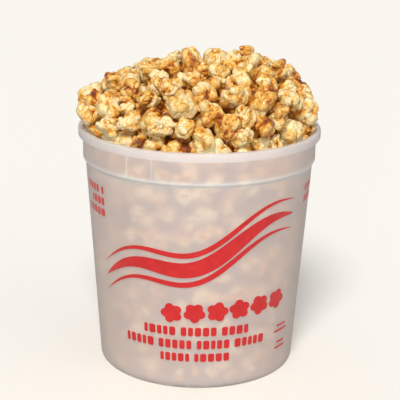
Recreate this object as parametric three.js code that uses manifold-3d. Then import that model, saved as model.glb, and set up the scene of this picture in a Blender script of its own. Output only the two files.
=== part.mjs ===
// A round translucent plastic tub, heaped with caramel popcorn.
// Units are millimetres, +Z is up, and the origin is the middle of the foot ring, on the table.
import * as THREE from "three";
import { mergeVertices } from "three/addons/utils/BufferGeometryUtils.js";
import Module from "manifold-3d";

const wasm = await Module();
wasm.setup();

// Tub
const turnSteps = 48;
const wall = 1.2;
const footInnerRadius = 70;
const footRise = 1.5;
const baseRadius = 86;
const baseFillet = 6;
const bodyTopRadius = 98.6;
const bodyTop = 181;
const collarRadius = 101;
const collarBottom = 186;
const lipRadius = 105;
const lipTop = 212;
const lipDrop = 7;
const lipRounding = 1.6;

// Ribs on the collar: two close pairs, one at the front left and one opposite it
const ribWidth = 2;
const ribProud = 0.8;
const ribPairAngles = [-35.4, -22.2];

// Heap of popcorn
const gap = 0.3;
const heapReach = 94;
const heapRise = 52.5;
const heapTilt = 0.18;
const apexShiftX = 2.4;
const footShiftX = -2.4;
const radialPower = 2.1;
const heightPower = 2.4;
const heapSeed = 78251;
const pieceCount = 104;
const smallestPiece = 10.2;
const pieceSpread = 4.2;
const bigPieceExtra = 2.6;
const bigPieceEvery = 9;
const bigPiecePlace = 4;
const jitterAlong = 6;
const jitterDeep = 7.8;
const lobeSeed = 2003;
const foldDepth = 0.78;
const lobePush = 0.3;
const plainPieceBelow = 10.3;
const coreDepth = 0.6;
const coreRows = 6;
const sideRows = 8;

// Hollows in the filling's side: two crossed waves, as deep as the space between two pieces
const sideRelief = 3.2;
const wavesAcross = 13;
const acrossTwist = 1.7;
const wavesUpright = 7;
const uprightTwist = 0.9;

const goldenAngle = Math.PI * (3 - Math.sqrt(5));

// A small seeded generator, so that every build gives the same heap
function seededRandom(seed) {
  let state = seed;
  return () => {
    state = (state * 16807) % 2147483647;
    return state / 2147483647;
  };
}

function solidFrom(geometry) {
  const bare = geometry.clone();
  bare.deleteAttribute("normal");
  bare.deleteAttribute("uv");
  const merged = mergeVertices(bare, 1e-3);
  return new wasm.Manifold(
    new wasm.Mesh({
      numProp: 3,
      vertProperties: merged.attributes.position.array,
      triVerts: new Uint32Array(merged.index.array),
    }),
  );
}

function geometryFrom(solid) {
  const mesh = solid.getMesh();
  const geometry = new THREE.BufferGeometry();
  geometry.setAttribute("position", new THREE.BufferAttribute(mesh.vertProperties, 3));
  geometry.setIndex(new THREE.BufferAttribute(mesh.triVerts, 1));
  return geometry;
}

// A profile of [radius, height] pairs turned about +Z
function turned(profile) {
  const points = profile.map(([radius, height]) => new THREE.Vector2(radius, height));
  return new THREE.LatheGeometry(points, turnSteps).rotateX(Math.PI / 2);
}

// Quarter arc from straight down to straight out, about a centre
function filletPoints(centreRadius, centreHeight, radius, steps) {
  const points = [];
  for (let i = 0; i <= steps; i++) {
    const angle = (Math.PI / 2) * (i / steps);
    points.push([centreRadius + radius * Math.sin(angle), centreHeight - radius * Math.cos(angle)]);
  }
  return points;
}

const floorTop = footRise + wall;
const filletCentre = baseRadius - baseFillet;

function tubSolid() {
  const underLip = lipTop - wall;
  const shell = solidFrom(
    turned([
      [0, footRise],
      [footInnerRadius, footRise],
      [footInnerRadius + footRise, 0],
      ...filletPoints(filletCentre, baseFillet, baseFillet, 3),
      [bodyTopRadius, bodyTop],
      [collarRadius, collarBottom],
      [collarRadius, underLip],
      [lipRadius - wall, underLip],
      [lipRadius - wall, lipTop - lipDrop],
      [lipRadius, lipTop - lipDrop],
      [lipRadius, lipTop - lipRounding],
      [lipRadius - lipRounding, lipTop],
      [collarRadius - wall, lipTop],
      [collarRadius - wall, collarBottom],
      [bodyTopRadius - wall, bodyTop],
      ...filletPoints(filletCentre - wall, floorTop + baseFillet, baseFillet, 3).reverse(),
      [0, floorTop],
    ]),
  );
  return ribAngles().reduce((tub, angle) => tub.add(solidFrom(ribGeometry(angle))), shell);
}

function ribAngles() {
  return [...ribPairAngles, ...ribPairAngles.map((angle) => angle + 180)];
}

// One upright rib, from the collar's step to the underside of the lip; 0 degrees is the front, -Y
function ribGeometry(angleDegrees) {
  const height = lipTop - wall / 2 - collarBottom;
  const depth = ribProud + wall / 2;
  const outerFace = collarRadius + ribProud;
  return new THREE.BoxGeometry(ribWidth, depth, height)
    .translate(0, -(outerFace - depth / 2), collarBottom + height / 2)
    .rotateZ(THREE.MathUtils.degToRad(angleDegrees));
}

// Height of the surface that the pieces' centres lie on, above the lip, at a share of the heap's reach
function heapHeight(share) {
  return heapRise * (1 - share ** radialPower) ** (1 / heightPower);
}

// The heap stands higher on its right, and its top is shifted that way
function heapLean(share, angle) {
  return 1 + heapTilt * share * Math.cos(angle);
}

function heapShift(share) {
  return THREE.MathUtils.lerp(apexShiftX, footShiftX, share);
}

// Places spread evenly over the domed surface: share of the reach for each equal share of its area
function heapShares(count) {
  const steps = 400;
  const areas = [0];
  for (let i = 1; i <= steps; i++) {
    const before = (i - 1) / steps;
    const here = i / steps;
    const run = heapReach * (here - before);
    const drop = heapHeight(before) - heapHeight(here);
    areas.push(areas[i - 1] + heapReach * (here + before) * Math.hypot(run, drop));
  }
  const shares = [];
  let step = 1;
  for (let i = 0; i < count; i++) {
    const wanted = (areas[steps] * (i + 0.5)) / count;
    while (areas[step] < wanted) step++;
    shares.push((step - (areas[step] - wanted) / (areas[step] - areas[step - 1])) / steps);
  }
  return shares;
}

// Centre, radius and turn of each popped piece on the heap
function heapPieces() {
  const random = seededRandom(heapSeed);
  return heapShares(pieceCount).map((share, index) => {
    const size = random();
    const radius = smallestPiece + pieceSpread * size * size +
      (index % bigPieceEvery === bigPiecePlace ? bigPieceExtra : 0);
    const angle = index * goldenAngle;
    const along = jitterAlong * (random() - 0.5);
    const across = jitterAlong * (random() - 0.5);
    const deep = jitterDeep * (random() - 0.5);
    const reach = heapReach * share;
    const centre = new THREE.Vector3(
      (reach + along) * Math.cos(angle) - across * Math.sin(angle) + heapShift(share),
      (reach + along) * Math.sin(angle) + across * Math.cos(angle),
      lipTop + heapHeight(share) * heapLean(share, angle) + deep,
    );
    const turn = new THREE.Euler(random() * 2 * Math.PI, random() * 2 * Math.PI, random() * 2 * Math.PI);
    return { centre, radius, turn };
  });
}

// A popped piece: a rounded body pushed out into a few lobes with folds between them; small ones are plainer
function pieceGeometry(radius, random) {
  const lobeCount = 4 + Math.floor(random() * 3);
  const lobes = Array.from({ length: lobeCount }, () =>
    new THREE.Vector3(random() - 0.5, random() - 0.5, random() - 0.5).normalize(),
  );
  const geometry = new THREE.SphereGeometry(1, 6, radius < plainPieceBelow ? 4 : 5);
  const position = geometry.attributes.position;
  const point = new THREE.Vector3();
  for (let i = 0; i < position.count; i++) {
    point.fromBufferAttribute(position, i).normalize();
    const push = Math.max(...lobes.map((lobe) => Math.max(0, point.dot(lobe)) ** 4));
    point.multiplyScalar(radius * (foldDepth + lobePush * push));
    position.setXYZ(i, point.x, point.y, point.z);
  }
  return geometry;
}

// The packed filling: it fits the tub with a small gap, with bumps of the pieces' size at the side
function coreSolid() {
  const inset = wall + gap;
  const profile = [[0, floorTop + gap], [filletCentre - inset, floorTop + gap]];
  const sideFoot = floorTop + gap + baseFillet;
  for (let i = 0; i <= sideRows; i++) {
    const height = THREE.MathUtils.lerp(sideFoot, bodyTop, i / sideRows);
    profile.push([THREE.MathUtils.lerp(baseRadius, bodyTopRadius, i / sideRows) - inset, height]);
  }
  profile.push([collarRadius - inset, collarBottom]);
  profile.push([collarRadius - inset, lipTop - coreDepth]);
  for (let i = 0; i <= coreRows; i++) {
    const share = 1 - i / coreRows;
    const reach = (heapReach - coreDepth) * share;
    profile.push([reach, lipTop - coreDepth + heapHeight(share)]);
  }
  const geometry = turned(profile);
  const position = geometry.attributes.position;
  const point = new THREE.Vector3();
  for (let i = 0; i < position.count; i++) {
    point.fromBufferAttribute(position, i);
    if (point.z > sideFoot + 1 && point.z < bodyTop - 1) dentSide(point);
    if (point.z > lipTop - coreDepth + 1) leanDome(point);
    position.setXYZ(i, point.x, point.y, point.z);
  }
  return solidFrom(geometry);
}

// Hollows between the pieces that lie against the wall
function dentSide(point) {
  const turns = Math.round((Math.atan2(point.y, point.x) / (2 * Math.PI)) * turnSteps) / turnSteps;
  const across = Math.sin(turns * wavesAcross * 2 * Math.PI + point.z * acrossTwist);
  const upright = Math.sin(turns * wavesUpright * 2 * Math.PI - point.z * uprightTwist);
  const radius = Math.hypot(point.x, point.y);
  const keep = 1 - (sideRelief * Math.abs(across * upright)) / radius;
  point.set(point.x * keep, point.y * keep, point.z);
}

function leanDome(point) {
  const domeFoot = lipTop - coreDepth;
  const share = Math.min(1, Math.hypot(point.x, point.y) / heapReach);
  const lean = heapLean(share, Math.atan2(point.y, point.x));
  point.set(point.x + heapShift(share), point.y, domeFoot + (point.z - domeFoot) * lean);
}

// Everything outside the tub's inner wall and below the top of its lip, with the gap
function tubClearance() {
  const inner = collarRadius - wall - gap;
  const outer = lipRadius * 2;
  return solidFrom(
    turned([
      [inner, bodyTop],
      [outer, bodyTop],
      [outer, lipTop + gap],
      [inner, lipTop + gap],
      [inner, bodyTop],
    ]),
  );
}

function popcornSolid() {
  const random = seededRandom(lobeSeed);
  const pieces = heapPieces().map(({ centre, radius, turn }) => {
    const geometry = pieceGeometry(radius, random);
    geometry.applyMatrix4(new THREE.Matrix4().makeRotationFromEuler(turn));
    geometry.translate(centre.x, centre.y, centre.z);
    return solidFrom(geometry);
  });
  const heap = pieces.reduce((joined, piece) => joined.add(piece), coreSolid());
  const fitted = heap.subtract(tubClearance());
  return fitted.decompose().sort((a, b) => b.volume() - a.volume())[0];
}

function namedMesh(name, solid, material) {
  const mesh = new THREE.Mesh(geometryFrom(solid), material);
  mesh.name = name;
  return mesh;
}

const frostedPlastic = new THREE.MeshStandardMaterial({
  color: 0xd9d2cd,
  roughness: 0.45,
  metalness: 0,
  transparent: true,
  opacity: 0.6,
});
const caramelCorn = new THREE.MeshStandardMaterial({ color: 0xe3b463, roughness: 0.35, metalness: 0 });

const bucketOfPopcorn = new THREE.Group();
bucketOfPopcorn.add(namedMesh("tub", tubSolid(), frostedPlastic));
bucketOfPopcorn.add(namedMesh("popcorn", popcornSolid(), caramelCorn));

export default bucketOfPopcorn;
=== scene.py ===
# A round translucent plastic tub, printed in red and heaped with caramel popcorn
import math

import bpy
import numpy as np
from mathutils import Euler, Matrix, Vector
from mathutils.bvhtree import BVHTree


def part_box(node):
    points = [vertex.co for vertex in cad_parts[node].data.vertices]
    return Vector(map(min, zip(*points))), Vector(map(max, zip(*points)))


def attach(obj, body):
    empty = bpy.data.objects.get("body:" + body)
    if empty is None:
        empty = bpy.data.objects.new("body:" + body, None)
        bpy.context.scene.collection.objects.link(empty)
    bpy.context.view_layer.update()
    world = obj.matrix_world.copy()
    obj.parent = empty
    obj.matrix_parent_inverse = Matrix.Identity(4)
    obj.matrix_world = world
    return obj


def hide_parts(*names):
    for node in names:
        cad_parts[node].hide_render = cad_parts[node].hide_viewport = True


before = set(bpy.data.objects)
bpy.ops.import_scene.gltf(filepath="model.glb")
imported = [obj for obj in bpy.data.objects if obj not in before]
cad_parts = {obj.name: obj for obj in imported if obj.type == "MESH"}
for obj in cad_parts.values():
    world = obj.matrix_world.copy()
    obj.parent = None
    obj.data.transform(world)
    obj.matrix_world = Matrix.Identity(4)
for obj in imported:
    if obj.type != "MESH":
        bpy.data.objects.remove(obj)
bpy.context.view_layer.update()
tubLow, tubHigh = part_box("tub")
cornLow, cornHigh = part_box("popcorn")
print("frame loaded", len(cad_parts), "nodes")

mm = 0.001
goldenAngle = math.pi * (3 - math.sqrt(5))


# Small helpers that every piece uses

def clearSelection():
    if bpy.context.object and bpy.context.object.mode != "OBJECT":
        bpy.ops.object.mode_set(mode="OBJECT")
    bpy.ops.object.select_all(action="DESELECT")


def pick(piece):
    clearSelection()
    piece.select_set(True)
    bpy.context.view_layer.objects.active = piece


def applyModifier(piece, kind, **settings):
    pick(piece)
    modifier = piece.modifiers.new(kind.lower(), kind)
    for key, value in settings.items():
        setattr(modifier, key, value)
    bpy.ops.object.modifier_apply(modifier=modifier.name)


def placeInMesh(piece):
    pick(piece)
    bpy.ops.object.transform_apply(location=True, rotation=True, scale=True)


def joined(pieces, name):
    clearSelection()
    for piece in pieces:
        piece.select_set(True)
    bpy.context.view_layer.objects.active = pieces[0]
    bpy.ops.object.join()
    pieces[0].name = name
    pieces[0].data.name = name
    return pieces[0]


def seededRandom(seed):
    factor, modulus = 16807, 2147483647
    state = [seed]

    def draw():
        state[0] = state[0] * factor % modulus
        return state[0] / modulus
    return draw


def randomTurn(draw):
    return Euler([draw() * 2 * math.pi for _ in range(3)])


def lerp(a, b, share):
    return a + (b - a) * share


def smoothStep(low, high, value):
    share = min(1, max(0, (value - low) / (high - low)))
    return share * share * (3 - 2 * share)


# Camera, set from the photo's outline of the tub
cameraPlace = {
    "at": (1.4 * mm, -1134 * mm, 478.8 * mm),
    "pitchDown": 0.2875, "roll": 0.0163, "lens": 120.6, "sensor": 36,
    "near": 0.05, "far": 50,
}


def addCamera(place):
    data = bpy.data.cameras.new("camera")
    data.lens = place["lens"]
    data.sensor_width = place["sensor"]
    data.clip_start = place["near"]
    data.clip_end = place["far"]
    camera = bpy.data.objects.new("camera", data)
    bpy.context.scene.collection.objects.link(camera)
    camera.location = place["at"]
    tilt = Euler((math.pi / 2 - place["pitchDown"], 0, 0)).to_matrix()
    camera.rotation_euler = (tilt @ Euler((0, 0, place["roll"])).to_matrix()).to_euler()
    bpy.context.scene.camera = camera


addCamera(cameraPlace)
print("camera placed")


# The tub: one thin wall turned about +Z, from the recessed base over the rolled lip and down inside
tub = {
    "turnSteps": 160, "smoothAngle": 35,
    "rows": {"foot": 4, "fillet": 8, "body": 4, "step": 6, "skirt": 2, "lip": 5, "innerLip": 3},
    "wall": 1.2 * mm,
    "footInnerRadius": 70 * mm, "footRise": 1.5 * mm,
    "baseRadius": 86 * mm, "baseFillet": 6 * mm,
    "bodyTopRadius": 98.6 * mm, "bodyTop": 181 * mm,
    "collarRadius": 101 * mm, "collarBottom": 186 * mm,
    "stepBand": 1.8 * mm, "stepGap": 1.5 * mm, "lipGap": 1 * mm,
    "lipRadius": tubHigh.x, "lipTop": tubHigh.z,
    "lipDrop": 7 * mm, "lipRounding": 1.6 * mm, "innerRounding": 0.5 * mm,
    "skirtRounding": 0.4 * mm,
    "ribWidth": 2 * mm, "ribProud": 0.8 * mm, "ribRounding": 0.5 * mm,
    "ribAngles": (-35.4, -22.2, 144.6, 157.8),
}


def arcPoints(centreRadius, centreHeight, radius, startDegrees, endDegrees, steps):
    points = []
    for i in range(steps + 1):
        angle = math.radians(lerp(startDegrees, endDegrees, i / steps))
        points.append((centreRadius + radius * math.cos(angle),
                       centreHeight + radius * math.sin(angle)))
    return points


def stepPoints(lowRadius, lowHeight, highRadius, highHeight, steps):
    points = []
    for i in range(steps + 1):
        share = i / steps
        points.append((lerp(lowRadius, highRadius, smoothStep(0, 1, share)),
                       lerp(lowHeight, highHeight, share)))
    return points


def innerRadius(height):
    wall, fillet = tub["wall"], tub["baseFillet"]
    floorTop = tub["footRise"] + wall
    if height < floorTop + fillet:
        below = min(fillet, floorTop + fillet - height)
        pull = fillet - math.sqrt(max(0, fillet ** 2 - below ** 2))
        return tub["baseRadius"] - wall - pull
    if height < tub["bodyTop"]:
        share = (height - fillet) / (tub["bodyTop"] - fillet)
        return lerp(tub["baseRadius"], tub["bodyTopRadius"], share) - wall
    share = smoothStep(tub["bodyTop"], tub["collarBottom"], height)
    return lerp(tub["bodyTopRadius"], tub["collarRadius"], share) - wall


def tubProfile():
    rows = tub["rows"]
    wall, fillet = tub["wall"], tub["baseFillet"]
    floorTop = tub["footRise"] + wall
    floorMiddle = tub["footInnerRadius"] / 2
    filletCentre = tub["baseRadius"] - fillet
    underLip = tub["lipTop"] - wall
    skirtEnd = tub["lipTop"] - tub["lipDrop"]
    skirtInner = tub["lipRadius"] - wall
    collarInner = tub["collarRadius"] - wall
    rounding = tub["lipRounding"]
    edge = tub["skirtRounding"]
    bodyShares = [i / rows["body"] for i in range(1, rows["body"])]
    points = [(0, tub["footRise"]), (floorMiddle, tub["footRise"])]
    points += stepPoints(tub["footInnerRadius"], tub["footRise"],
                         tub["footInnerRadius"] + tub["footRise"], 0, rows["foot"])
    points += arcPoints(filletCentre, fillet, fillet, -90, 0, rows["fillet"])
    points += [(lerp(tub["baseRadius"], tub["bodyTopRadius"], share),
                lerp(fillet, tub["bodyTop"], share)) for share in bodyShares]
    points += stepPoints(tub["bodyTopRadius"], tub["bodyTop"],
                         tub["collarRadius"], tub["collarBottom"], rows["step"])
    # Rows that keep the step's painted highlight band and the pale lip apart from the clear collar
    stepEnd = tub["collarBottom"] + tub["stepBand"]
    clearLow = stepEnd + tub["stepGap"]
    clearHigh = skirtEnd - tub["lipGap"]
    points += [(tub["collarRadius"], height) for height in (stepEnd, clearLow, clearHigh, underLip)]
    points += [(skirtInner, underLip)]
    points += arcPoints(skirtInner + edge, skirtEnd + edge, edge, 180, 270, rows["skirt"])
    points += arcPoints(tub["lipRadius"] - edge, skirtEnd + edge, edge, 270, 360, rows["skirt"])
    points += arcPoints(tub["lipRadius"] - rounding, tub["lipTop"] - rounding,
                        rounding, 0, 90, rows["lip"])
    inset = tub["innerRounding"]
    points += arcPoints(collarInner + inset, tub["lipTop"] - inset, inset, 90, 180, rows["innerLip"])
    points += [(collarInner, clearHigh), (collarInner, clearLow)]
    points += stepPoints(tub["bodyTopRadius"] - wall, tub["bodyTop"],
                         collarInner, tub["collarBottom"], rows["step"])[::-1]
    points += [(lerp(tub["bodyTopRadius"], tub["baseRadius"], share) - wall,
                lerp(tub["bodyTop"], floorTop + fillet, share)) for share in bodyShares]
    points += arcPoints(filletCentre - wall, floorTop + fillet, fillet, 0, -90, rows["fillet"])
    points += [(floorMiddle, floorTop), (0, floorTop)]
    return points


def spinProfile(points, steps, name):
    clearSelection()
    bpy.ops.mesh.primitive_plane_add(size=1 * mm)
    piece = bpy.context.object
    bpy.ops.object.mode_set(mode="EDIT")
    bpy.ops.mesh.select_all(action="SELECT")
    bpy.ops.mesh.merge(type="CENTER")
    bpy.ops.transform.translate(value=(points[0][0], 0, points[0][1]))
    for (radius, height), (nextRadius, nextHeight) in zip(points, points[1:]):
        step = (nextRadius - radius, 0, nextHeight - height)
        bpy.ops.mesh.extrude_vertices_move(TRANSFORM_OT_translate={"value": step})
    bpy.ops.mesh.select_all(action="SELECT")
    bpy.ops.mesh.spin(steps=steps, angle=2 * math.pi, center=(0, 0, 0), axis=(0, 0, 1))
    bpy.ops.mesh.select_all(action="SELECT")
    bpy.ops.mesh.remove_doubles(threshold=0.01 * mm)
    bpy.ops.mesh.normals_make_consistent(inside=False)
    bpy.ops.object.mode_set(mode="OBJECT")
    piece.name = name
    piece.data.name = name
    return piece


def ribPiece(angleDegrees):
    angle = math.radians(angleDegrees)
    height = tub["lipTop"] - tub["wall"] / 2 - tub["collarBottom"]
    depth = tub["ribProud"] + tub["wall"] / 2
    reach = tub["collarRadius"] + tub["ribProud"] - depth / 2
    middle = tub["collarBottom"] + height / 2
    clearSelection()
    bpy.ops.mesh.primitive_cube_add(
        size=1, scale=(tub["ribWidth"], depth, height), rotation=(0, 0, angle),
        location=(math.sin(angle) * reach, -math.cos(angle) * reach, middle))
    rib = bpy.context.object
    placeInMesh(rib)
    applyModifier(rib, "BEVEL", width=tub["ribRounding"], segments=2, limit_method="ANGLE")
    return rib


# Where the plastic is thick or doubled it looks whiter: the lip and the ribs. Along the step a
# whiter band is a painted highlight, and only that band takes the less clear material
thickAndHighlightMarks = {
    "lip": 0.55, "lipFade": 1 * mm, "stepHighlightFade": (2 * mm, 4 * mm),
    "rib": 0.6, "ribMargin": 0.4 * mm, "ribStart": 0.1 * mm,
    "solidFrom": 0.7,
}


def markThickAndStepHighlight(shell):
    layer = shell.data.attributes.new("thick", "FLOAT", "POINT")
    skirtEnd = tub["lipTop"] - tub["lipDrop"]
    stepMiddle = (tub["bodyTop"] + tub["collarBottom"] + tub["stepBand"]) / 2
    ribTurns = [math.radians(angle) for angle in tub["ribAngles"]]
    halfRib = (tub["ribWidth"] / 2 + thickAndHighlightMarks["ribMargin"]) / tub["collarRadius"]
    for vertex in shell.data.vertices:
        height = vertex.co.z
        angle = math.atan2(vertex.co.x, -vertex.co.y)
        across = math.hypot(vertex.co.x, vertex.co.y)
        # Painted highlight: a whiter band along the step, where the ledge catches the light
        stepHighlight = 1 - smoothStep(*thickAndHighlightMarks["stepHighlightFade"], abs(height - stepMiddle))
        onLip = smoothStep(skirtEnd - thickAndHighlightMarks["lipFade"], skirtEnd, height)
        onRib = across > tub["collarRadius"] + thickAndHighlightMarks["ribStart"] and any(
            abs(math.remainder(angle - turn, 2 * math.pi)) < halfRib for turn in ribTurns)
        layer.data[vertex.index].value = max(
            stepHighlight, thickAndHighlightMarks["lip"] * onLip, thickAndHighlightMarks["rib"] * onRib)
    # Only the step's painted highlight band is marked enough for the whiter, less clear material
    for polygon in shell.data.polygons:
        marks = [layer.data[index].value for index in polygon.vertices]
        polygon.material_index = int(min(marks) > thickAndHighlightMarks["solidFrom"])


def buildTub():
    shell = spinProfile(tubProfile(), tub["turnSteps"], "tubShell")
    for angle in tub["ribAngles"]:
        rib = ribPiece(angle)
        applyModifier(shell, "BOOLEAN", operation="UNION", solver="MANIFOLD", object=rib)
        bpy.data.objects.remove(rib)
    markThickAndStepHighlight(shell)
    pick(shell)
    bpy.ops.object.shade_smooth_by_angle(angle=math.radians(tub["smoothAngle"]))
    return shell


tubShell = buildTub()
tubShell.visible_shadow = False  # the thin wall lets the light in to the corn behind it
tubShell.visible_diffuse = False
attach(tubShell, "root")
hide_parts("tub")
print("tub made", len(tubShell.data.vertices))


# Popped pieces: each master is a body with lobes, cups and bulges, made once at radius 1
kernels = {
    "roundCorn": {
        "masters": 4, "seed": 41, "body": 0.80, "puff": 0.10, "cups": 0, "lobes": 0,
        "bulges": 8, "bulgeSize": (0.45, 0.62), "proud": (0.04, 0.14)},
    "lobedCorn": {
        "masters": 6, "seed": 57, "body": 0.58, "puff": 0.15, "cups": 0,
        "lobes": 5, "lobeSize": (0.46, 0.66), "reach": 0.46,
        "bulges": 2, "bulgeSize": (0.32, 0.42), "proud": (0.03, 0.12)},
    "curledCorn": {
        "masters": 7, "seed": 73, "body": 0.47, "puff": 0.11, "cups": 3,
        "lobes": 3, "lobeSize": (0.40, 0.54), "reach": 0.42,
        "bulges": 1, "bulgeSize": (0.30, 0.38), "proud": (0.03, 0.10)},
}
# How the parts of a master vary: how far they scatter, lean, stand out and flatten
kernelForm = {
    "bodyFlat": (0.85, 1.05),
    "armScatter": 0.45, "cupLean": 0.8,
    "lobeOut": (0.7, 1.15), "lobeFlat": (0.45, 0.9), "lobeLong": (0.7, 1.15),
    "bulgeScatter": 0.35, "bulgeLean": 0.8, "bulgeFlat": (0.6, 1),
}
kernelFinish = {
    "voxel": 0.030, "smooth": 1,
    "puffScale": 0.68, "puffLevel": 0.4, "puffOffset": 5, "pucker": 0.012, "puckerScale": 0.18,
    "rays": 32, "raySeed": 5, "rayStart": 0.02, "rayReach": 0.5, "rayLowest": 0.1,
    "creaseGain": 2.8, "creaseRange": (-0.15, 0.7),
    "hullOut": 0.75, "hullSize": 0.32, "hullGain": 1.25,
}
cup = {"radius": 0.56, "reach": 0.58, "open": 0.05, "wall": 0.085, "stretch": (1, 0.8, 0.9)}
detailLevels = {"fine": 3800, "plain": 860, "coarse": 320}


def direction(upright, angle):
    flat = math.sqrt(1 - upright * upright)
    return Vector((flat * math.cos(angle), flat * math.sin(angle), upright))


def randomDirection(draw):
    return direction(2 * draw() - 1, 2 * math.pi * draw())


def spreadDirections(count, draw, jitter):
    turn = 2 * math.pi * draw()
    directions = []
    for i in range(count):
        even = direction(1 - 2 * (i + 0.5) / count, turn + i * goldenAngle)
        directions.append((even + randomDirection(draw) * jitter).normalized())
    return directions


def addBall(centre, radius, stretch, facing, detail=2):
    clearSelection()
    bpy.ops.mesh.primitive_ico_sphere_add(
        subdivisions=detail, radius=1, location=centre, scale=[radius * share for share in stretch],
        rotation=facing.to_track_quat("Z", "Y").to_euler())
    return bpy.context.object


def addCup(side, facing):
    shell = addBall(side * cup["reach"], cup["radius"], cup["stretch"], facing, 3)
    for polygon in shell.data.polygons:
        polygon.select = polygon.center.z > cup["open"]
    bpy.ops.object.mode_set(mode="EDIT")
    bpy.ops.mesh.delete(type="FACE")
    bpy.ops.object.mode_set(mode="OBJECT")
    placeInMesh(shell)
    applyModifier(shell, "SOLIDIFY", thickness=cup["wall"], offset=-1)
    return shell


def cloudTexture(name, scale, depth, kind):
    texture = bpy.data.textures.new(name, "CLOUDS")
    texture.noise_type = kind
    texture.noise_scale = scale
    texture.noise_depth = depth
    return texture


# Puffed skin: round swellings with sharp valleys between them, then finer puckers
def puffSkin(kernel, puffed, draw):
    puff = cloudTexture("puff", kernelFinish["puffScale"], 0, "HARD_NOISE")
    pucker = cloudTexture("pucker", kernelFinish["puckerScale"], 2, "SOFT_NOISE")
    offset = bpy.data.objects.new("puffOffset", None)
    offset.location = randomDirection(draw) * kernelFinish["puffOffset"]
    bpy.context.scene.collection.objects.link(offset)
    applyModifier(kernel, "DISPLACE", texture=puff, texture_coords="OBJECT",
                  texture_coords_object=offset, strength=puffed * 2,
                  mid_level=kernelFinish["puffLevel"])
    applyModifier(kernel, "DISPLACE", texture=pucker, strength=kernelFinish["pucker"] * 2,
                  mid_level=0.5)
    bpy.data.objects.remove(offset)


def popKernel(kind, index):
    make = kernels[kind]
    draw = seededRandom(make["seed"] + 1000 * index)
    centre = Vector((0, 0, 0))
    stretch = (1, 1, lerp(*kernelForm["bodyFlat"], draw()))
    parts = [addBall(centre, make["body"], stretch, randomDirection(draw), 3)]
    surface = [(centre, make["body"])]
    arms = spreadDirections(make["lobes"] + make["cups"], draw, kernelForm["armScatter"])
    for number, side in enumerate(arms):
        if number % 2 == 1 and number < 2 * make["cups"]:
            facing = (side * kernelForm["cupLean"] + randomDirection(draw)).normalized()
            parts.append(addCup(side, facing))
            continue
        size = lerp(*make["lobeSize"], draw())
        centre = side * make["reach"] * lerp(*kernelForm["lobeOut"], draw())
        stretch = (1, lerp(*kernelForm["lobeFlat"], draw()), lerp(*kernelForm["lobeLong"], draw()))
        parts.append(addBall(centre, size, stretch, side))
        surface.append((centre, size))
    bulges = spreadDirections(make["bulges"], draw, kernelForm["bulgeScatter"])
    for number, side in enumerate(bulges):
        centre, size = surface[number % len(surface)]
        if centre.length > 0:  # on a lobe it leans away from the middle
            side = (side + centre.normalized() * kernelForm["bulgeLean"]).normalized()
        bulge = lerp(*make["bulgeSize"], draw())
        out = size + lerp(*make["proud"], draw()) - bulge
        stretch = (1, lerp(*kernelForm["bulgeFlat"], draw()), 1)
        parts.append(addBall(centre + side * out, bulge, stretch, side))
    kernel = joined(parts, f"{kind}Master{index}")
    placeInMesh(kernel)
    applyModifier(kernel, "REMESH", mode="VOXEL", voxel_size=kernelFinish["voxel"])
    applyModifier(kernel, "SMOOTH", factor=0.5, iterations=kernelFinish["smooth"])
    puffSkin(kernel, make["puff"], draw)
    reach = max(vertex.co.length for vertex in kernel.data.vertices)
    kernel.scale = (1 / reach,) * 3
    placeInMesh(kernel)
    return kernel


def thinned(kernel, triangles):
    pick(kernel)
    bpy.ops.object.duplicate()
    copy = bpy.context.object
    faces = sum(len(polygon.vertices) - 2 for polygon in copy.data.polygons)
    applyModifier(copy, "DECIMATE", ratio=min(1, triangles / faces))
    return copy


def kernelArrays(kernel, kind, seed):
    mesh = kernel.data
    mesh.calc_loop_triangles()
    points = np.zeros(len(mesh.vertices) * 3)
    mesh.vertices.foreach_get("co", points)
    corners = np.zeros(len(mesh.loop_triangles) * 3, np.int32)
    mesh.loop_triangles.foreach_get("vertices", corners)
    points = points.reshape(-1, 3)
    corners = corners.reshape(-1, 3)
    normals = np.array([vertex.normal[:] for vertex in mesh.vertices])
    foldCaramelAndShade = foldShade(points, corners, normals) + creaseShade(points, corners, normals)
    return {"kind": kind, "points": points, "corners": corners,
            "foldCaramelAndShade": np.clip(foldCaramelAndShade, 0, 1), "hull": hullShade(points, seed)}


# How closed in each spot is, from rays that meet the piece itself: 0 open, 1 deep in the folds. It
# darkens the colour in the folds, partly caramel that collects there and partly painted shade
def foldShade(points, corners, normals):
    tree = BVHTree.FromPolygons(points.tolist(), corners.tolist())
    rays = spreadDirections(kernelFinish["rays"], seededRandom(kernelFinish["raySeed"]), 0)
    shade = np.zeros(len(points))
    for i, (point, normal) in enumerate(zip(points, normals)):
        outward = Vector(normal)
        start = Vector(point) + outward * kernelFinish["rayStart"]
        facing = [ray for ray in rays if ray.dot(outward) > kernelFinish["rayLowest"]]
        hits = sum(tree.ray_cast(start, ray, kernelFinish["rayReach"])[0] is not None
                   for ray in facing)
        shade[i] = hits / max(1, len(facing))
    return shade


# Narrow creases, where the surface bends inwards. Added to the mark of the folds, they darken the
# colour there, partly caramel that collects in them and partly painted shade
def creaseShade(points, corners, normals):
    sides = np.concatenate([corners[:, :2], corners[:, 1:], corners[:, ::2]])
    edges = np.unique(np.sort(sides, axis=1), axis=0)
    a, b = np.concatenate([edges, edges[:, ::-1]]).T
    step = points[b] - points[a]
    inward = (step * normals[a]).sum(1) / np.maximum(np.linalg.norm(step, axis=1), 1e-6)
    count = np.bincount(a, minlength=len(points))
    bend = np.bincount(a, weights=inward, minlength=len(points)) / count
    spread = (bend + np.bincount(a, weights=bend[b], minlength=len(points)) / count) / 2
    return np.clip(spread * kernelFinish["creaseGain"], *kernelFinish["creaseRange"])


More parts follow.
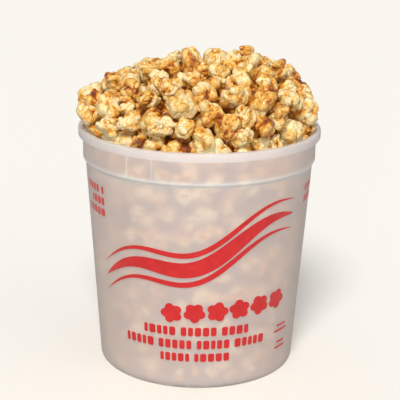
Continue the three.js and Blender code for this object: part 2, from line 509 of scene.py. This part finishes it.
# The skin of the seed, which shows as a brown fleck on one side
def hullShade(points, seed):
    draw = seededRandom(seed)
    spot = np.array(randomDirection(draw)) * kernelFinish["hullOut"]
    away = np.linalg.norm(points - spot, axis=1)
    return np.clip(kernelFinish["hullGain"] - away / kernelFinish["hullSize"], 0, 1)


def makeKernels():
    made = {level: {kind: [] for kind in kernels} for level in detailLevels}
    for kind, make in kernels.items():
        for index in range(make["masters"]):
            kernel = popKernel(kind, index)
            for level, triangles in detailLevels.items():
                copy = thinned(kernel, triangles)
                made[level][kind].append(kernelArrays(copy, kind, make["seed"] + index))
                bpy.data.objects.remove(copy)
            bpy.data.objects.remove(kernel)
    return made


# The heap follows the same rule as the solid: places spread evenly over a leaning dome
heap = {
    "seed": 78251, "reach": 94 * mm, "rise": 52.5 * mm, "tilt": 0.18,
    "apexShift": 2.4 * mm, "footShift": -2.4 * mm, "radialPower": 2.1, "heightPower": 2.4,
    "count": 104, "smallest": 10.2 * mm, "spread": 4.2 * mm,
    "bigExtra": 2.6 * mm, "bigEvery": 9, "bigPlace": 4,
    "jitterAlong": 6 * mm, "jitterDeep": 7.8 * mm,
    "grow": {"roundCorn": 1.02, "lobedCorn": 1.17, "curledCorn": 1.22},
}
# The pieces on the shoulder stand out a little, the more so the further left they are
shoulder = {"push": 2.6 * mm, "rise": (8 * mm, 20 * mm), "share": (0.45, 0.75), "leftwards": 0.6}
# Pieces listed one by one: one big ball in front, some moved a little, dark caramel ones and pale
# ones
pickedBall = {"index": 49, "move": Vector((2, -4, 6)) * mm, "grow": 1.1}
nudged = {16: Vector((6, 0, 1)) * mm, 24: Vector((4, 0, -7)) * mm,
          63: Vector((3, 0, 5)) * mm, 85: Vector((0, 0, 3.5)) * mm}
pickedDark = (16, 37, 24, 39, 78, 62, 86)
pickedPale = (12, 44, 88, 83, 91, 81, 94, 6, 102, 67)


def heapHeight(share):
    return heap["rise"] * (1 - share ** heap["radialPower"]) ** (1 / heap["heightPower"])


def heapLean(share, cosine):
    return 1 + heap["tilt"] * share * cosine


def heapShift(share):
    return lerp(heap["apexShift"], heap["footShift"], share)


def heapShares(count):
    steps = 400
    areas = [0]
    for i in range(1, steps + 1):
        before, here = (i - 1) / steps, i / steps
        run = heap["reach"] * (here - before)
        drop = heapHeight(before) - heapHeight(here)
        areas.append(areas[-1] + heap["reach"] * (here + before) * math.hypot(run, drop))
    shares = []
    step = 1
    for i in range(count):
        wanted = areas[steps] * (i + 0.5) / count
        while areas[step] < wanted:
            step += 1
        shares.append((step - (areas[step] - wanted) / (areas[step] - areas[step - 1])) / steps)
    return shares


def heapPieces():
    draw = seededRandom(heap["seed"])
    pieces = []
    for index, share in enumerate(heapShares(heap["count"])):
        size = draw()
        big = index % heap["bigEvery"] == heap["bigPlace"]
        radius = heap["smallest"] + heap["spread"] * size * size + (heap["bigExtra"] if big else 0)
        cosine, sine = math.cos(index * goldenAngle), math.sin(index * goldenAngle)
        along = heap["jitterAlong"] * (draw() - 0.5)
        across = heap["jitterAlong"] * (draw() - 0.5)
        deep = heap["jitterDeep"] * (draw() - 0.5)
        reach = heap["reach"] * share + along
        centre = Vector((
            reach * cosine - across * sine + heapShift(share),
            reach * sine + across * cosine,
            tub["lipTop"] + heapHeight(share) * heapLean(share, cosine) + deep))
        push = shoulder["push"] * smoothStep(*shoulder["share"], share)
        push *= smoothStep(*shoulder["rise"], centre.z - tub["lipTop"])
        push *= 1 - shoulder["leftwards"] * cosine
        centre += Vector((cosine, sine, 0)) * push
        pieces.append({"centre": centre, "radius": radius, "turn": randomTurn(draw), "big": big})
    ball = pieces[pickedBall["index"]]
    ball["ball"] = True
    ball["centre"] += pickedBall["move"]
    ball["radius"] *= pickedBall["grow"]
    for index, move in nudged.items():
        pieces[index]["centre"] += move
    return pieces


# Smaller pieces under the heap's own, seen in the gaps between them
underHeap = {"seed": 733, "count": 190, "turn": 0.4, "depth": 13 * mm, "insetShare": 0.8,
             "smallest": 7.5 * mm, "spread": 3.5 * mm}


def underPieces():
    draw = seededRandom(underHeap["seed"])
    pieces = []
    for index, share in enumerate(heapShares(underHeap["count"])):
        angle = index * goldenAngle + underHeap["turn"]
        cosine, sine = math.cos(angle), math.sin(angle)
        reach = (heap["reach"] - underHeap["depth"] * underHeap["insetShare"]) * share
        height = heapHeight(share) * heapLean(share, cosine) - underHeap["depth"]
        centre = Vector((reach * cosine + heapShift(share), reach * sine, tub["lipTop"] + height))
        turn = randomTurn(draw)
        radius = underHeap["smallest"] + underHeap["spread"] * draw()
        pieces.append({"centre": centre, "radius": radius, "turn": turn})
    return pieces


# A ring just inside the lip, so no gap shows there
rimCorn = {"seed": 911, "count": 30, "jitter": 0.5, "inset": 10.5 * mm, "sink": 3 * mm,
           "smallest": 9 * mm, "spread": 3 * mm}


def rimPieces():
    draw = seededRandom(rimCorn["seed"])
    reach = innerRadius(tub["lipTop"]) - rimCorn["inset"]
    pieces = []
    for place in range(rimCorn["count"]):
        angle = 2 * math.pi * (place + rimCorn["jitter"] * draw()) / rimCorn["count"]
        height = tub["lipTop"] - rimCorn["sink"] * draw()
        centre = Vector((reach * math.cos(angle), reach * math.sin(angle), height))
        turn = randomTurn(draw)
        radius = rimCorn["smallest"] + rimCorn["spread"] * draw()
        pieces.append({"centre": centre, "radius": radius, "turn": turn})
    return pieces


# Pieces that lie against the inside of the wall and show through it
wallCorn = {"seed": 388, "rows": 12, "pitch": 17.5 * mm, "lowest": 9 * mm, "highest": 206 * mm,
            "smallest": 8 * mm, "spread": 4 * mm, "stagger": 0.5, "scatter": 0.8,
            "jitter": 14 * mm, "press": 1.8 * mm, "back": 4 * mm, "standShare": 0.9}


def wallPieces():
    draw = seededRandom(wallCorn["seed"])
    pieces = []
    for row in range(wallCorn["rows"]):
        height = lerp(wallCorn["lowest"], wallCorn["highest"], row / (wallCorn["rows"] - 1))
        around = round(2 * math.pi * innerRadius(height) / wallCorn["pitch"])
        stagger = wallCorn["stagger"] * (row % 2)
        for place in range(around):
            angle = 2 * math.pi * (place + stagger + wallCorn["scatter"] * (draw() - 0.5)) / around
            radius = wallCorn["smallest"] + wallCorn["spread"] * draw()
            level = max(height + wallCorn["jitter"] * (draw() - 0.5),
                        tub["footRise"] + radius * wallCorn["standShare"])
            reach = innerRadius(level) - radius + wallCorn["press"] - wallCorn["back"] * draw() ** 2
            centre = Vector((reach * math.cos(angle), reach * math.sin(angle), level))
            pieces.append({"centre": centre, "radius": radius, "turn": randomTurn(draw)})
    return pieces


clearance = 0.35 * mm
boxLow = np.minimum(cornLow, tubLow)
boxHigh = np.maximum(cornHigh, tubHigh)
rimFlare = 0.6  # how far corn may lean out over the lip for each millimetre above it


# Keeps corn off the wall, the floor and the lip
def keepInside(points):
    across = np.hypot(points[:, 0], points[:, 1])
    lowest = tub["footRise"] + tub["wall"] + clearance
    points[:, 2] = np.maximum(points[:, 2], lowest)
    limits = np.array([innerRadius(height) for height in points[:, 2]]) - clearance
    above = points[:, 2] - tub["lipTop"] - clearance
    limits += rimFlare * np.maximum(0, above)
    scale = np.minimum(1, limits / np.maximum(across, mm))
    points[:, 0] *= scale
    points[:, 1] *= scale
    return points


# Painted shade between the pieces, darker the deeper below the heap's surface: 0 at the surface, 1
# deep in a gap
depthShading = {"depth": 13 * mm, "gain": 0.85, "power": 2.0, "edgeShare": 0.96, "step": 0.02}


def depthShade(points):
    share = np.minimum(np.hypot(points[:, 0], points[:, 1]) / heap["reach"], depthShading["edgeShare"])
    step = depthShading["step"]
    fall = heapHeight(share + step) - heapHeight(np.maximum(0, share - step))
    slope = fall / (2 * step * heap["reach"])
    cosine = np.cos(np.arctan2(points[:, 1], points[:, 0]))
    surface = tub["lipTop"] + heapHeight(share) * heapLean(share, cosine)
    drop = (surface - points[:, 2]) / np.sqrt(1 + slope ** 2)
    return depthShading["gain"] * np.clip(drop / depthShading["depth"], 0, 1) ** depthShading["power"]


def cornMesh(name, placed, darkened):
    pointLists, cornerLists = [], []
    marks = {"foldCaramelAndShade": [], "hull": [], "toneAndShade": []}
    start = 0
    for piece, master in placed:
        rotation = np.array(piece["turn"].to_matrix())
        grow = heap["grow"][master["kind"]]
        place = master["points"] @ rotation.T * piece["radius"] * grow + np.array(piece["centre"])
        place += np.maximum(0, boxLow - place.min(0)) - np.maximum(0, place.max(0) - boxHigh)
        pointLists.append(place)
        cornerLists.append(master["corners"] + start)
        marks["foldCaramelAndShade"].append(master["foldCaramelAndShade"])
        marks["hull"].append(master["hull"])
        # Pieces deep in the heap get painted shade, darker the deeper they lie
        deepShade = depthShade(place) if darkened else np.zeros(len(place))
        marks["toneAndShade"].append(piece["toneAndShade"] + deepShade)
        start += len(place)
    points = keepInside(np.concatenate(pointLists))
    corners = np.concatenate(cornerLists)
    mesh = bpy.data.meshes.new(name)
    mesh.from_pydata(points.tolist(), [], corners.tolist())
    for label, values in marks.items():
        layer = mesh.attributes.new(label, "FLOAT", "POINT")
        layer.data.foreach_set("value", np.concatenate(values).astype(np.float32))
    mesh.polygons.foreach_set("use_smooth", np.ones(len(corners), bool))
    mesh.update()
    piece = bpy.data.objects.new(name, mesh)
    bpy.context.scene.collection.objects.link(piece)
    return piece


# How many pieces are balls, among the big ones and the others, and how many are lobed
kindShares = {"bigBalls": 0.45, "balls": 0.07, "lobed": 0.55}
mixSeeds = {"top": 17, "deepCorn": 19, "sideCorn": 23}
# Tones run from 0, pale, to 1, dark: each group has its seed and its two ends
# The under group is darker: painted shade on the pieces seen deep in the gaps
tones = {"top": (29, 0.1, 0.9), "under": (31, 0.6, 1.2), "rim": (33, -0.5, 0.1),
         "wall": (37, 0, 0.6), "towardsPale": 1.5, "pickedDark": 0.95, "pickedPale": 0}


def shareOut(pieces, masters, seed):
    draw = seededRandom(seed)
    shares = {kind: [] for kind in kernels}
    for piece in pieces:
        roll = draw()
        balls = kindShares["bigBalls" if piece.get("big") else "balls"]
        other = "lobedCorn" if roll < kindShares["lobed"] else "curledCorn"
        kind = "roundCorn" if piece.get("ball") or roll < balls else other
        shares[kind].append((piece, masters[kind][int(draw() * len(masters[kind]))]))
    return shares


def setTones(pieces, group):
    seed, low, high = tones[group]
    draw = seededRandom(seed)
    for piece in pieces:
        piece["toneAndShade"] = lerp(low, high, draw() ** tones["towardsPale"])
    return pieces


def buildCorn():
    masters = makeKernels()
    print("kernels modelled")
    top = setTones(heapPieces(), "top")
    for index in pickedDark:
        top[index]["toneAndShade"] = tones["pickedDark"]
    for index in pickedPale:
        top[index]["toneAndShade"] = tones["pickedPale"]
    made = [cornMesh(kind, placed, True)
            for kind, placed in shareOut(top, masters["fine"], mixSeeds["top"]).items()]
    deep = setTones(underPieces(), "under") + setTones(rimPieces(), "rim")
    side = setTones(wallPieces(), "wall")
    # The deep pieces get the painted depth shade, the pieces behind the wall none
    for name, pieces, level, darkened in (("deepCorn", deep, "plain", True),
                                        ("sideCorn", side, "coarse", False)):
        shares = shareOut(pieces, masters[level], mixSeeds[name])
        made.append(cornMesh(name, sum(shares.values(), []), darkened))
    return made


# The filling behind them, coloured dark as painted shade where it shows through the gaps
core = {"inset": 16 * mm, "floorGap": 9.6 * mm, "drop": 12 * mm, "rows": 12, "steps": 64}


def buildCore():
    low = tub["footRise"] + tub["wall"] + core["floorGap"]
    top = tub["lipTop"] - core["drop"]
    points = [(0, low)]
    for i in range(core["rows"] + 1):
        height = lerp(low, top, i / core["rows"])
        points.append((innerRadius(height) - core["inset"], height))
    reach = innerRadius(top) - core["inset"]
    for i in range(1, core["rows"] + 1):
        share = 1 - i / core["rows"]
        points.append((reach * share, top + max(0, heapHeight(share) - core["drop"])))
    return spinProfile(points, core["steps"], "cornCore")


cornPieces = buildCorn()
cornCore = buildCore()
for piece in [*cornPieces, cornCore]:
    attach(piece, "root")
    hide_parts("popcorn")
print("corn placed", [len(piece.data.polygons) for piece in cornPieces])


# Red print: ribbons, popped shapes, blocks and bars, drawn flat and wrapped round the wall
ink = {
    "lift": 0.1 * mm, "film": 0.05 * mm, "sides": (0, 180), "smoothAngle": 30,
    "across": 4, "barColumns": 12, "barPitch": 1.5 * mm, "barTip": 0.02 * mm,
}
# Three ribbons, one wide between two slim ones: "strands" gives each one's offset and width
sweep = {
    "left": -84 * mm, "right": 84 * mm, "low": 92 * mm, "high": 150 * mm,
    "thick": 6.8 * mm, "wave": 9 * mm, "waves": 1.5, "columns": 90,
    "strands": ((0, 1), (-13 * mm, 0.35), (13 * mm, 0.35)),
    "tip": 0.15 * mm, "taperPower": 0.7,
}
# Rows under the ribbons, and the small ones at the sides
printRows = {
    "pops": 6, "popSpan": (-20 * mm, 72 * mm), "popHeight": (71 * mm, 75 * mm),
    "popSize": 9 * mm, "popPetals": 5, "popWaist": 0.26, "popTurn": 0.9,
    # Each row of blocks: its seed, then its place round the wall, height, length and tallness in mm
    "blocks": ((7, 0, 54.5, 88, 8), (11, -1, 42.5, 122, 8), (19, -1, 30.5, 58, 7.5),
               (23, -97, 167, 30, 6.5), (29, -92, 157, 20, 6.5), (31, -96, 147, 28, 6.5),
               (37, 115, 167, 26, 6.5), (41, 115, 157, 26, 6.5)),
    "blockWidth": (3.2 * mm, 5.8 * mm), "blockGap": 1.4 * mm, "group": 5, "groupGap": 4.5 * mm,
    "blockEnd": 0.6, "blockSwell": 4, "blockColumns": 8,
    # Each small bar: its place round the wall, height, length and thickness in mm
    "bars": ((83, 48, 14, 2), (83, 43, 20, 2), (84, 32, 12, 2), (84, 27, 16, 2)),
}


def outerRadius(height):
    return innerRadius(height) + tub["wall"]


def inkStroke(centreLine, halfWidth, columns):
    clearSelection()
    bpy.ops.mesh.primitive_grid_add(x_subdivisions=columns, y_subdivisions=ink["across"], size=2)
    stroke = bpy.context.object
    near = 0.01
    for vertex in stroke.data.vertices:
        share = (vertex.co.x + 1) / 2
        x, z = centreLine(share)
        aheadX, aheadZ = centreLine(share + near)
        behindX, behindZ = centreLine(share - near)
        along = Vector((aheadX - behindX, aheadZ - behindZ)).normalized()
        width = halfWidth(share) * vertex.co.y
        vertex.co = (x - along.y * width, 0, z + along.x * width)
    return stroke


def sweepLine(offset):
    def line(share):
        x = lerp(sweep["left"], sweep["right"], share)
        rise = lerp(sweep["low"], sweep["high"], share)
        return x, rise + offset + sweep["wave"] * math.sin(share * 2 * math.pi * sweep["waves"])
    return line


def taper(thick):
    def width(share):
        swell = math.sin(math.pi * min(1, max(0, share)))
        return max(sweep["tip"], thick * swell ** sweep["taperPower"])
    return width


def inkBar(x, z, length, thick):
    half = thick / 2

    def line(share):
        return x + (share - 0.5) * length, z

    def width(share):
        fromEnd = min(share, 1 - share) * length
        if fromEnd > half:
            return half
        return math.sqrt(max(0, half ** 2 - (half - fromEnd) ** 2)) + ink["barTip"]
    return inkStroke(line, width, max(ink["barColumns"], round(length / ink["barPitch"])))


def inkPop(x, z, turn):
    petals, waist = printRows["popPetals"], printRows["popWaist"]
    clearSelection()
    bpy.ops.mesh.primitive_circle_add(vertices=petals * 10, radius=1, fill_type="TRIFAN")
    pop = bpy.context.object
    for vertex in pop.data.vertices:
        angle = math.atan2(vertex.co.y, vertex.co.x)
        swell = 1 - waist + waist * abs(math.sin(petals * (angle + turn) / 2))
        reach = vertex.co.length * printRows["popSize"] * swell
        vertex.co = (x + reach * math.cos(angle), 0, z + reach * math.sin(angle))
    return pop


def inkBlock(x, z, wide, tall):
    def line(share):
        return x, z + (share - 0.5) * tall

    def width(share):
        swell = printRows["blockEnd"] + printRows["blockSwell"] * min(share, 1 - share)
        return wide / 2 * min(1, swell)
    return inkStroke(line, width, printRows["blockColumns"])


# A row of small blocks of mixed width, in groups
def inkBlocks(seed, middle, z, length, tall):
    draw = seededRandom(seed)
    widths, gaps = [], []
    while sum(widths) + sum(gaps) < length:
        widths.append(lerp(*printRows["blockWidth"], draw()))
        groupEnds = len(widths) % printRows["group"] == 0
        gaps.append(printRows["groupGap" if groupEnds else "blockGap"])
    fit = length / (sum(widths) + sum(gaps[:-1]))
    blocks = []
    x = middle - length / 2
    for width, gap in zip(widths, gaps):
        blocks.append(inkBlock(x + width * fit / 2, z, width * fit, tall))
        x += (width + gap) * fit
    return blocks


def wrapRound(piece, sideDegrees):
    turn = math.radians(sideDegrees)
    for vertex in piece.data.vertices:
        height = vertex.co.z
        angle = vertex.co.x / tub["baseRadius"] + turn
        reach = outerRadius(height) + ink["lift"]
        vertex.co = (reach * math.sin(angle), -reach * math.cos(angle), height)


def buildPrint():
    strokes = [inkStroke(sweepLine(offset), taper(sweep["thick"] * width), sweep["columns"])
               for offset, width in sweep["strands"]]
    for i in range(printRows["pops"]):
        share = i / (printRows["pops"] - 1)
        x, z = lerp(*printRows["popSpan"], share), lerp(*printRows["popHeight"], share)
        strokes.append(inkPop(x, z, i * printRows["popTurn"]))
    for seed, *sizes in printRows["blocks"]:
        strokes += inkBlocks(seed, *[size * mm for size in sizes])
    for sizes in printRows["bars"]:
        strokes.append(inkBar(*[size * mm for size in sizes]))
    front = joined(strokes, "redPrint")
    placeInMesh(front)
    pick(front)
    bpy.ops.object.duplicate()
    back = bpy.context.object
    for piece, side in zip((front, back), ink["sides"]):
        wrapRound(piece, side)
    both = joined([front, back], "redPrint")
    applyModifier(both, "SOLIDIFY", thickness=ink["film"], offset=0)
    pick(both)
    bpy.ops.object.mode_set(mode="EDIT")
    bpy.ops.mesh.select_all(action="SELECT")
    bpy.ops.mesh.normals_make_consistent(inside=False)
    bpy.ops.object.mode_set(mode="OBJECT")
    bpy.ops.object.shade_smooth_by_angle(angle=math.radians(ink["smoothAngle"]))
    return both


redPrint = buildPrint()
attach(redPrint, "root")
print("print drawn")


# Materials. In settings, an underline in a socket's name stands for a space

def newMaterial(name, **values):
    material = bpy.data.materials.new(name)
    material.use_nodes = True
    shader = material.node_tree.nodes["Principled BSDF"]
    for label, value in values.items():
        shader.inputs[label.replace("_", " ")].default_value = value
    return material, material.node_tree, shader


def addNode(tree, kind, **settings):
    node = tree.nodes.new(kind)
    for label, value in settings.items():
        socket = label.replace("_", " ")
        if socket in node.inputs:
            node.inputs[socket].default_value = value
        else:
            setattr(node, label, value)
    return node


def wire(tree, *links):
    for source, output, target, socket in links:
        tree.links.new(source.outputs[output], target.inputs[socket])


def newGroup(name, inputs, outputs):
    group = bpy.data.node_groups.new(name, "ShaderNodeTree")
    for side, sockets in (("INPUT", inputs), ("OUTPUT", outputs)):
        for label, kind in sockets.items():
            group.interface.new_socket(label, in_out=side, socket_type=f"NodeSocket{kind}")
    return group, addNode(group, "NodeGroupInput"), addNode(group, "NodeGroupOutput")


# Two colours mottled by noise: "From" and "To" are the noise's values where each one is whole
def mottleGroup():
    group, given, result = newGroup(
        "mottle", {"Vector": "Vector", "Scale": "Float", "Detail": "Float", "From": "Float",
                   "To": "Float", "Dark": "Color", "Pale": "Color"}, {"Color": "Color"})
    noise = addNode(group, "ShaderNodeTexNoise")
    share = addNode(group, "ShaderNodeMapRange")
    colour = addNode(group, "ShaderNodeMix", data_type="RGBA")
    wire(group, *[(given, label, noise, label) for label in ("Vector", "Scale", "Detail")],
         (noise, "Fac", share, "Value"), (given, "From", share, "From Min"),
         (given, "To", share, "From Max"), (share, "Result", colour, "Factor"),
         (given, "Dark", colour, "A"), (given, "Pale", colour, "B"),
         (colour, "Result", result, "Color"))
    return group


mottled = {
    # The core's dark brown is painted shade in the gaps
    "paintedGapShade": {"roughness": 0.5, "pattern": {
        "Scale": 60, "Detail": 2, "From": 0, "To": 1,
        "Dark": (0.14, 0.05, 0.018, 1), "Pale": (0.42, 0.20, 0.08, 1)}},
    "redInk": {"roughness": 0.38, "pattern": {
        "Scale": 140, "Detail": 3, "From": 0.3, "To": 0.7,
        "Dark": (0.55, 0.010, 0.012, 1), "Pale": (0.66, 0.020, 0.018, 1)}},
}


def mottledMaterial(name, group):
    material, tree, shader = newMaterial(name, Roughness=mottled[name]["roughness"])
    place = addNode(tree, "ShaderNodeTexCoord")
    mottle = addNode(tree, "ShaderNodeGroup", node_tree=group, **mottled[name]["pattern"])
    wire(tree, (place, "Object", mottle, "Vector"), (mottle, "Color", shader, "Base Color"))
    return material


# Frosted plastic: whiter where it is thick, and along the step as a painted highlight, with a fine
# grain
plastic = {
    "finish": {"Roughness": 0.57, "IOR": 1.49, "Specular_IOR_Level": 0.3},
    "clear": {"frostedPlastic": 0.6, "stepHighlightPlastic": 0.45},
    "frost": {"Grain": 900, "Thin": (0.785, 0.69, 0.65, 1), "White": (0.95, 0.935, 0.925, 1)},
    "relief": {"Strength": 0.15, "Distance": 0.1 * mm},
}


def frostGroup():
    group, given, result = newGroup(
        "frost", {"Vector": "Vector", "Grain": "Float", "ThickAndStepHighlight": "Float", "Thin": "Color",
                  "White": "Color"}, {"Color": "Color", "Height": "Float"})
    grain = addNode(group, "ShaderNodeTexNoise", Detail=3)
    colour = addNode(group, "ShaderNodeMix", data_type="RGBA")
    wire(group, (given, "Vector", grain, "Vector"), (given, "Grain", grain, "Scale"),
         (grain, "Fac", result, "Height"), (given, "ThickAndStepHighlight", colour, "Factor"),
         (given, "Thin", colour, "A"), (given, "White", colour, "B"),
         (colour, "Result", result, "Color"))
    return group


def plasticMaterial(name, group):
    material, tree, shader = newMaterial(
        name, Transmission_Weight=plastic["clear"][name], **plastic["finish"])
    place = addNode(tree, "ShaderNodeTexCoord")
    # This mark is real thickness at the lip and ribs and a painted highlight along the step
    thick = addNode(tree, "ShaderNodeAttribute", attribute_name="thick")
    frost = addNode(tree, "ShaderNodeGroup", node_tree=group, **plastic["frost"])
    bump = addNode(tree, "ShaderNodeBump", **plastic["relief"])
    wire(tree, (place, "Object", frost, "Vector"), (thick, "Fac", frost, "ThickAndStepHighlight"),
         (frost, "Color", shader, "Base Color"), (frost, "Height", bump, "Height"),
         (bump, "Normal", shader, "Normal"))
    return material


# Caramel over pale corn: "gains" says how much each pattern and mark darkens it. The marks of the
# folds and of the tones carry painted shade besides real caramel and the pieces' own colour
caramel = {
    # The emission is a painted glow: faint warm light from the corn itself, to warm its shade
    "finish": {"IOR": 1.47, "Specular_IOR_Level": 0.35, "Coat_Roughness": 0.08,
               "Emission_Color": (1, 0.36, 0.03, 1), "Emission_Strength": 0.02},  # warm shade
    "patches": {"Scale": 82, "Detail": 4, "Roughness": 0.6},
    "wrinkles": {"Scale": 330, "Detail": 4, "Roughness": 0.62},
    "warp": {"Scale": 150, "Detail": 2}, "warpReach": 14 * mm,
    "cells": 105, "creaseWidth": 0.11,
    "start": -1.85, "patchGain": 3.3,
    "gains": {"toneAndShade": 0.44, "foldCaramelAndShade": 0.85, "hull": 0.4, "crease": 0.16, "wrinkles": 0.45},
    "stops": ((0.0, (0.92, 0.74, 0.40)), (0.25, (0.87, 0.56, 0.16)), (0.5, (0.78, 0.37, 0.045)),
              (0.75, (0.56, 0.155, 0.005)), (1.0, (0.20, 0.034, 0.002))),
    "gloss": {"Roughness": (0.45, 0.22), "Coat Weight": (0.12, 0.6)}, "glossFull": 0.6,
    "creaseDepth": -0.25, "relief": {"Strength": 1.0, "Distance": 2 * mm},
}


# "value" and "plus" are a node and one of its outputs, and "plus" may be a number
def scaled(tree, value, gain, plus):
    node = addNode(tree, "ShaderNodeMath", operation="MULTIPLY_ADD")
    wire(tree, (*value, node, 0))
    node.inputs[1].default_value = gain
    if isinstance(plus, tuple):
        wire(tree, (*plus, node, 2))
    else:
        node.inputs[2].default_value = plus
    return node, 0


# Crumpled skin: puffed cells with a crease between them
def creaseLines(tree, place):
    warp = addNode(tree, "ShaderNodeTexNoise", **caramel["warp"])
    bent = addNode(tree, "ShaderNodeVectorMath", operation="MULTIPLY_ADD")
    bent.inputs[1].default_value = (caramel["warpReach"],) * 3
    cells = addNode(tree, "ShaderNodeTexVoronoi", feature="DISTANCE_TO_EDGE",
                    Scale=caramel["cells"])
    line = addNode(tree, "ShaderNodeMapRange", interpolation_type="SMOOTHSTEP",
                   From_Min=caramel["creaseWidth"], From_Max=0)
    wire(tree, (place, "Object", warp, "Vector"), (warp, "Color", bent, 0),
         (place, "Object", bent, 2), (bent, 0, cells, "Vector"),
         (cells, "Distance", line, "Value"))
    return line, 0


def cornMaterial():
    material, tree, shader = newMaterial("caramelCorn", **caramel["finish"])
    place = addNode(tree, "ShaderNodeTexCoord")
    patches = addNode(tree, "ShaderNodeTexNoise", **caramel["patches"])
    wrinkles = addNode(tree, "ShaderNodeTexNoise", **caramel["wrinkles"])
    wire(tree, (place, "Object", patches, "Vector"), (place, "Object", wrinkles, "Vector"))
    marks = {label: (addNode(tree, "ShaderNodeAttribute", attribute_name=label), "Fac")
             for label in ("toneAndShade", "foldCaramelAndShade", "hull")}
    marks["crease"] = creaseLines(tree, place)
    marks["wrinkles"] = wrinkles, "Fac"
    amount = scaled(tree, (patches, "Fac"), caramel["patchGain"], caramel["start"])
    for label, gain in caramel["gains"].items():
        amount = scaled(tree, marks[label], gain, amount)
    ramp = addNode(tree, "ShaderNodeValToRGB")
    while len(ramp.color_ramp.elements) < len(caramel["stops"]):
        ramp.color_ramp.elements.new(0.5)
    for element, (position, colour) in zip(ramp.color_ramp.elements, caramel["stops"]):
        element.position = position
        element.color = (*colour, 1)
    relief = scaled(tree, marks["crease"], caramel["creaseDepth"], marks["wrinkles"])
    bump = addNode(tree, "ShaderNodeBump", **caramel["relief"])
    wire(tree, (*amount, ramp, "Fac"), (ramp, "Color", shader, "Base Color"),
         (*relief, bump, "Height"), (bump, "Normal", shader, "Normal"))
    for socket, (bare, darkened) in caramel["gloss"].items():
        gloss = addNode(tree, "ShaderNodeMapRange", From_Max=caramel["glossFull"],
                        To_Min=bare, To_Max=darkened)
        wire(tree, (*amount, gloss, "Value"), (gloss, "Result", shader, socket))
    return material


def dress(piece, *materials):
    marks = [polygon.material_index for polygon in piece.data.polygons]
    piece.data.materials.clear()
    for material in materials:
        piece.data.materials.append(material)
    piece.data.polygons.foreach_set(
        "material_index", [min(mark, len(materials) - 1) for mark in marks])


frost = frostGroup()
dress(tubShell, plasticMaterial("frostedPlastic", frost), plasticMaterial("stepHighlightPlastic", frost))
caramelCorn = cornMaterial()
for piece in cornPieces:
    dress(piece, caramelCorn)
mottle = mottleGroup()
dress(cornCore, mottledMaterial("paintedGapShade", mottle))
dress(redPrint, mottledMaterial("redInk", mottle))
print("materials made")


# Floor and light
stage = {"floorRadius": 12, "floorDrop": 0.2 * mm, "cream": (0.945, 0.918, 0.865, 1), "sky": 0.3}
# Each sun: where it stands and how high in degrees, its strength, its spread and its colour
suns = {
    "keyLight": (-7, 46, 2.95, 20, (1, 0.99, 0.98)),
    "fillLight": (55, 25, 0.32, 60, (0.98, 0.99, 1)),
    "frontLight": (-2, 4, 0.72, 30, (1, 1, 1)),
}


def buildStage():
    clearSelection()
    bpy.ops.mesh.primitive_circle_add(
        vertices=96, radius=stage["floorRadius"], fill_type="NGON",
        location=(0, 0, -stage["floorDrop"]))
    floor = bpy.context.object
    floor.name = "floor"
    placeInMesh(floor)
    material, _, _ = newMaterial("paleFloor", Base_Color=stage["cream"], Roughness=0.9)
    dress(floor, material)
    floor.visible_diffuse = False  # a cut-out ground: it throws no light up at the tub


def addSun(name, azimuth, elevation, strength, spread, colour):
    data = bpy.data.lights.new(name, "SUN")
    data.energy = strength
    data.angle = math.radians(spread)
    data.color = colour
    lamp = bpy.data.objects.new(name, data)
    bpy.context.scene.collection.objects.link(lamp)
    a, e = math.radians(azimuth), math.radians(elevation)
    towards = Vector((math.sin(a) * math.cos(e), -math.cos(a) * math.cos(e), math.sin(e)))
    lamp.rotation_euler = towards.to_track_quat("Z", "Y").to_euler()


def lightScene():
    for name, settings in suns.items():
        addSun(name, *settings)
    world = bpy.data.worlds.new("studio")
    bpy.context.scene.world = world
    world.use_nodes = True
    background = world.node_tree.nodes["Background"]
    background.inputs["Color"].default_value = (1, 1, 1, 1)
    background.inputs["Strength"].default_value = stage["sky"]
    bpy.context.scene.view_settings.view_transform = "Standard"


buildStage()
lightScene()
print("stage and lights set")
